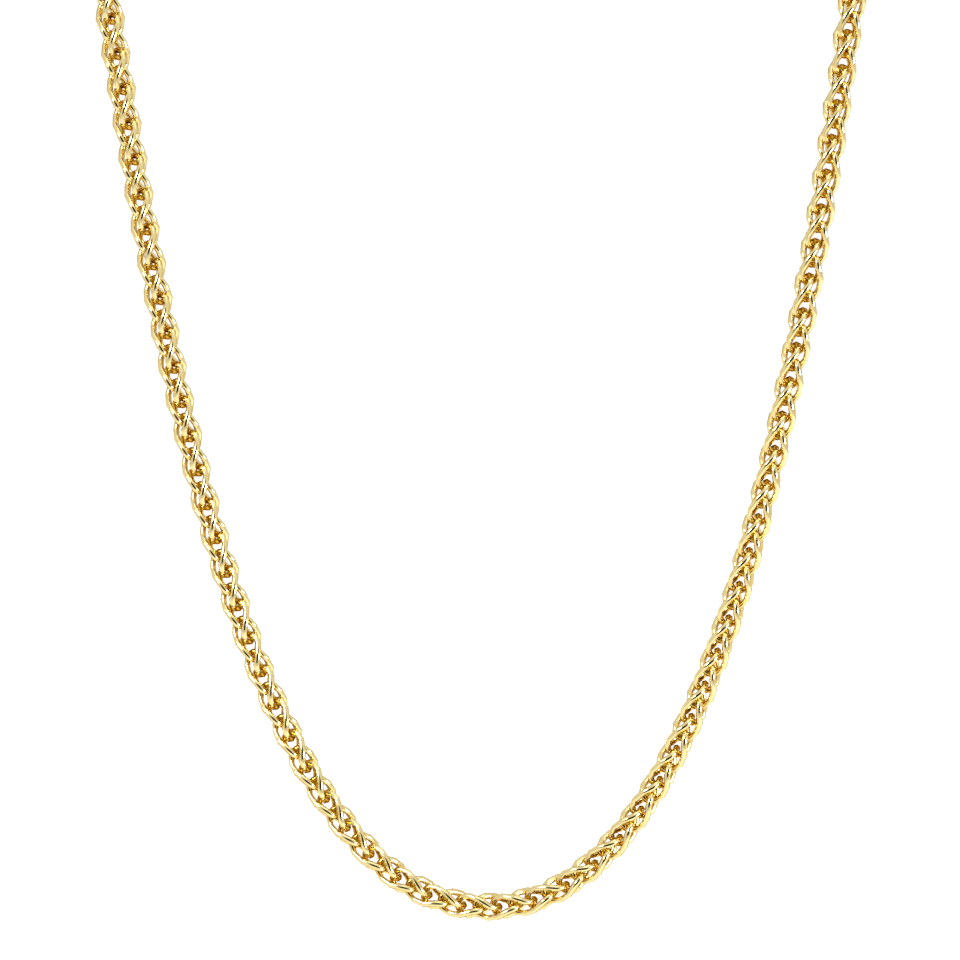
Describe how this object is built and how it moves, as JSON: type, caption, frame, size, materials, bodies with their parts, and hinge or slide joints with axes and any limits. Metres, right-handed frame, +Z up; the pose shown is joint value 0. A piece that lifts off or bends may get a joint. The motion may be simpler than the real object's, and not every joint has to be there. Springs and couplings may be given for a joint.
{
  "type": "wheat chain necklace",
  "caption": "Plain wheat chain necklace of interlocked wire links, worn as a closed loop round the neck and fastened by a hook clasp at the nape.",
  "frame": {"origin": "where the clasp lies against the nape, at the middle of the clasp's height and of the neck", "axes": "+Z up, +Y towards the wearer's back, +X towards the viewer's right when the viewer faces the wearer"},
  "size_m": [0.1182, 0.1069, 0.1565],
  "materials": {
    "gold": "polished yellow gold"
  },
  "bodies": {
    "root": {"chain_left": "gold", "chain_right": "gold", "end_ring_left": "gold", "end_ring_right": "gold", "clasp": "gold"}
  },
  "joints": []
}
